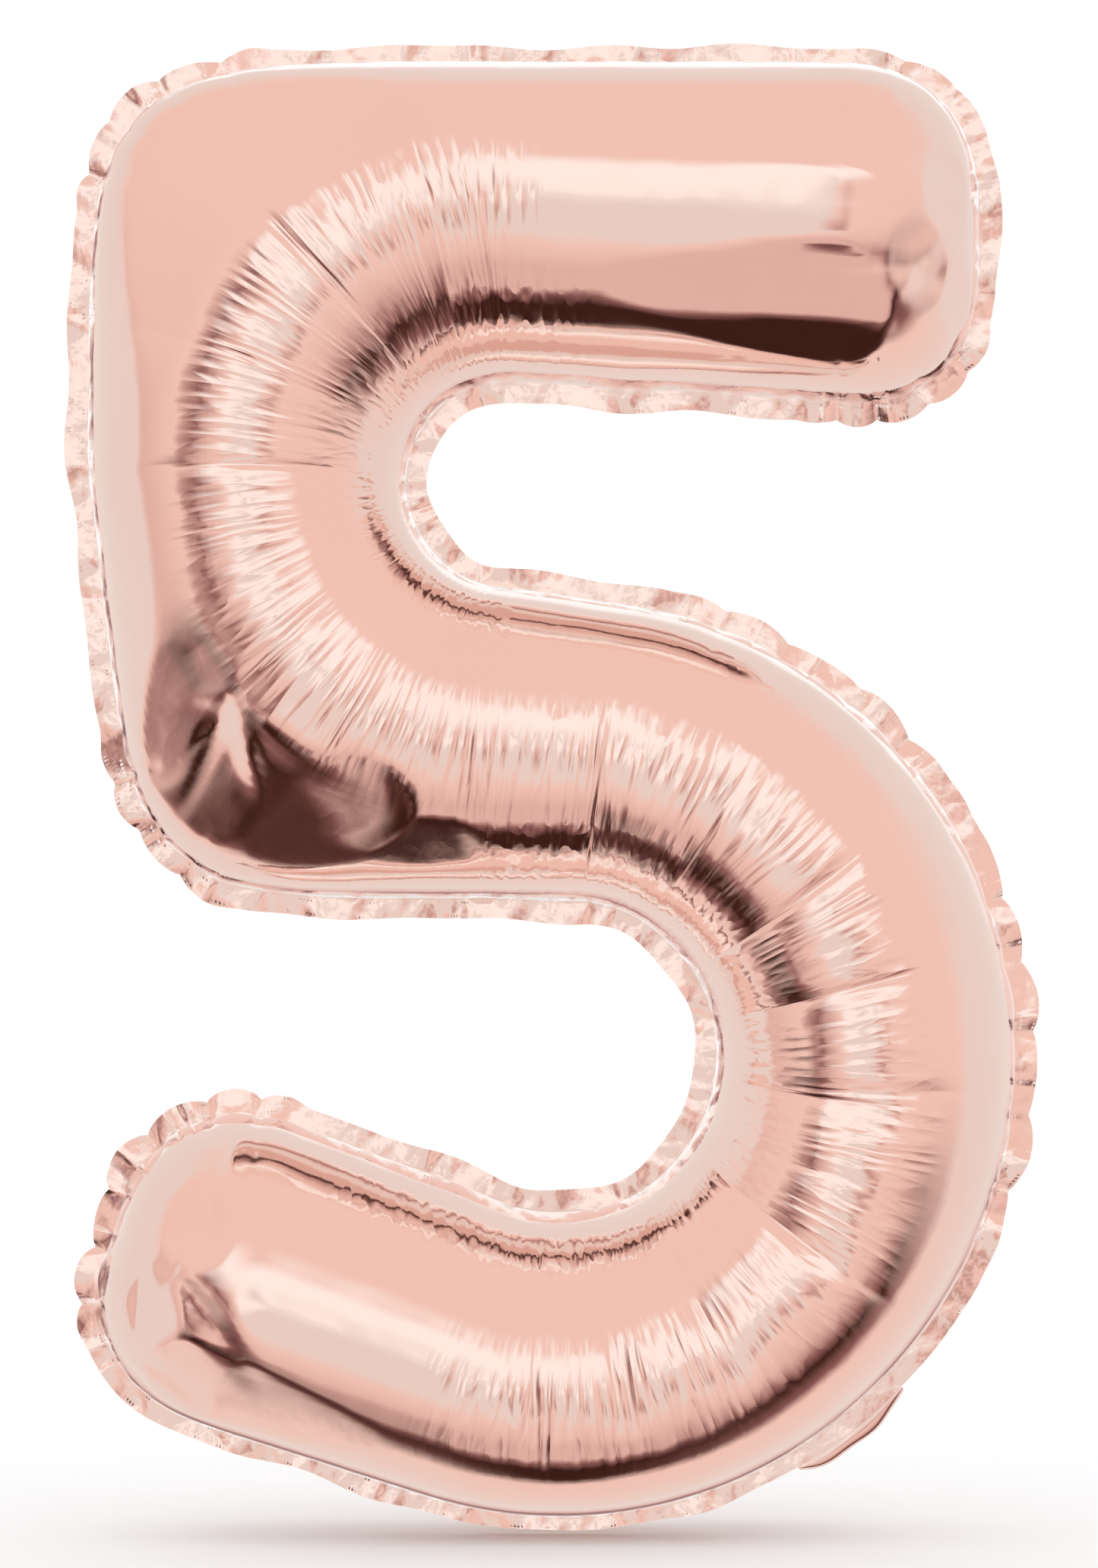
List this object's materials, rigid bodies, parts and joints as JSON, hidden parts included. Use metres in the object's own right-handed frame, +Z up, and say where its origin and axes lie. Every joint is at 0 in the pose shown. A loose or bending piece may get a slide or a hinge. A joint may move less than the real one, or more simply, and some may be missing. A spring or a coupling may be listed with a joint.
{
  "type": "foil number balloon",
  "caption": "Inflated metallised foil balloon in the shape of the figure 5, with a welded flat rim, a self-sealing film valve and a fold-back filling tail.",
  "frame": {"origin": "the tie point: middle of the fold where the filling tail leaves the rim, in the plane of the seam", "axes": "+Z up the figure, +X to the right as the figure is read, the figure's face looks along -Y"},
  "size_m": [0.4979, 0.1724, 0.764],
  "materials": {
    "rose_gold_foil": "mirror-bright metallised film, rose gold",
    "fused_edge": "heat-fused film edge, pale rose",
    "valve_film": "thin milky clear film",
    "throat_print": "matt heat-resistant print"
  },
  "bodies": {
    "root": {"front_foil_panel": "rose_gold_foil", "rear_foil_panel": "rose_gold_foil", "perimeter_weld": "fused_edge", "valve_rear_film": "valve_film", "valve_throat_film": "valve_film", "heat_resist_print": "throat_print"},
    "valve_flap": {"valve_front_flap": "valve_film"},
    "tail": {"tail_front_foil": "rose_gold_foil", "tail_rear_foil": "rose_gold_foil", "tail_side_welds": "fused_edge", "tail_valve_front_film": "valve_film", "tail_valve_rear_film": "valve_film"}
  },
  "joints": [
    {"name": "tail_fold", "type": "hinge", "parent": "root", "child": "tail", "pos_m": [0, 0, 0], "axis": [-0.788, 0, -0.6157], "range_deg": [0, 215]},
    {"name": "valve_opening", "type": "hinge", "parent": "root", "child": "valve_flap", "pos_m": [-0.01062, -0.0002, 0.01359], "axis": [0.788, 0, 0.6157], "range_deg": [0, 6], "stiffness_Nm_per_rad": 0.002, "springref_deg": -5.73}
  ]
}
